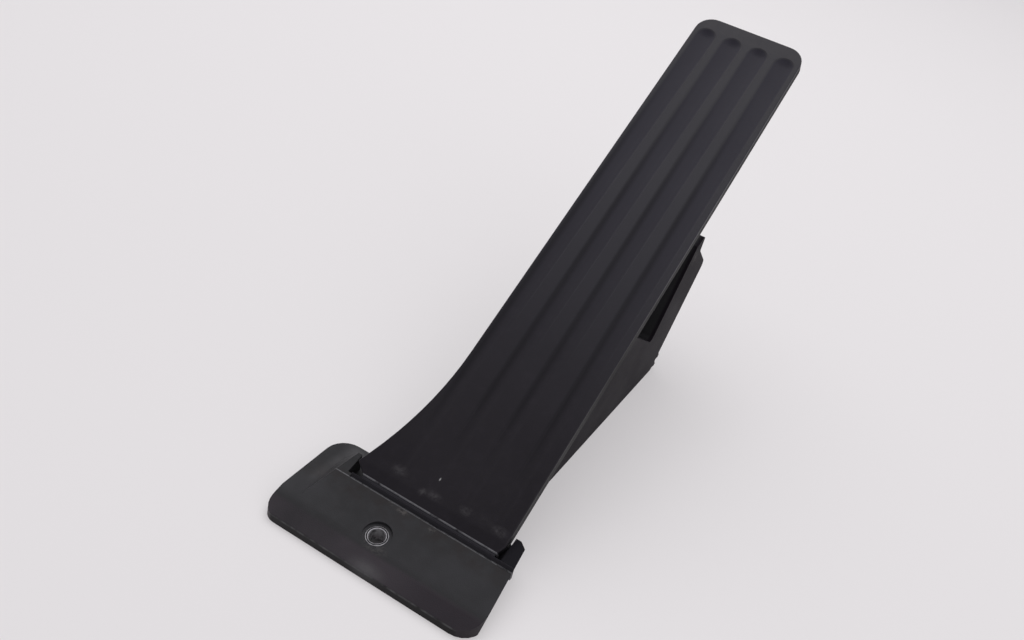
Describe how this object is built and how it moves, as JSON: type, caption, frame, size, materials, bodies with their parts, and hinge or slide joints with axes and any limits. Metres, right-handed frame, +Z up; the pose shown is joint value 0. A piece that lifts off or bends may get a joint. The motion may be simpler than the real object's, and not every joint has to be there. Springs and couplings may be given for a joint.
{
  "type": "accelerator pedal",
  "caption": "Floor-hinged accelerator pedal: a long grooved plate on a ramped foot with a bolt sleeve, over a ribbed housing with a sprung lever and contactless position sensor.",
  "frame": {"origin": "where the axis of the foot's bolt sleeve meets the floor, under the foot", "axes": "+X across the pedal to the driver's right, +Y from the foot to the pedal's free end, +Z up from the floor"},
  "size_m": [0.0936, 0.2556, 0.1548],
  "materials": {
    "base_plastic": "satin moulded, lightly dusted",
    "pedal_plastic": "satin moulded, rubbed on the ridges",
    "rubber": "matt",
    "zinc_steel": "zinc plated",
    "spring_steel": "drawn wire",
    "bearing_plastic": "natural acetal",
    "ferrite": "sintered",
    "board": "solder mask",
    "chip": "moulded",
    "tin": "tinned"
  },
  "bodies": {
    "base": {"base_housing": "base_plastic", "mount_sleeve": "zinc_steel", "hinge_strip": "pedal_plastic", "film_hinge": "pedal_plastic", "idle_stop_pad": "rubber", "full_stop_buffer": "rubber", "return_spring_left": "spring_steel", "return_spring_right": "spring_steel", "bush_left": "bearing_plastic", "bush_right": "bearing_plastic", "friction_washer_left": "bearing_plastic", "friction_washer_right": "bearing_plastic", "circuit_board": "board", "hall_sensors": "chip", "terminal_pins": "tin", "sensor_cover": "base_plastic", "cover_seal": "rubber", "cover_screws": "zinc_steel"},
    "pedal": {"pedal_plate": "pedal_plastic"},
    "lever": {"sensor_lever": "base_plastic", "slide_shoe": "bearing_plastic", "shoe_pin": "zinc_steel", "lever_shaft": "zinc_steel", "magnet_carrier": "bearing_plastic", "sensor_magnet": "ferrite"}
  },
  "joints": [
    {"name": "pedal_hinge", "type": "hinge", "parent": "base", "child": "pedal", "pos_m": [0.0104, 0.01468, 0.0132], "axis": [-1, 0, 0], "range_deg": [0, 12], "stiffness_Nm_per_rad": 4.2, "springref_deg": -29.79, "deforming": ["film_hinge"]},
    {"name": "lever_pivot", "type": "hinge", "parent": "base", "child": "lever", "pos_m": [0.0144, 0.11503, 0.022], "axis": [-1, 0, 0], "range_deg": [0, 27.7], "deforming": ["return_spring_left", "return_spring_right"]}
  ],
  "couplings": [
    {"joint": "lever_pivot", "follows": "pedal_hinge", "ratio": 2.3}
  ]
}
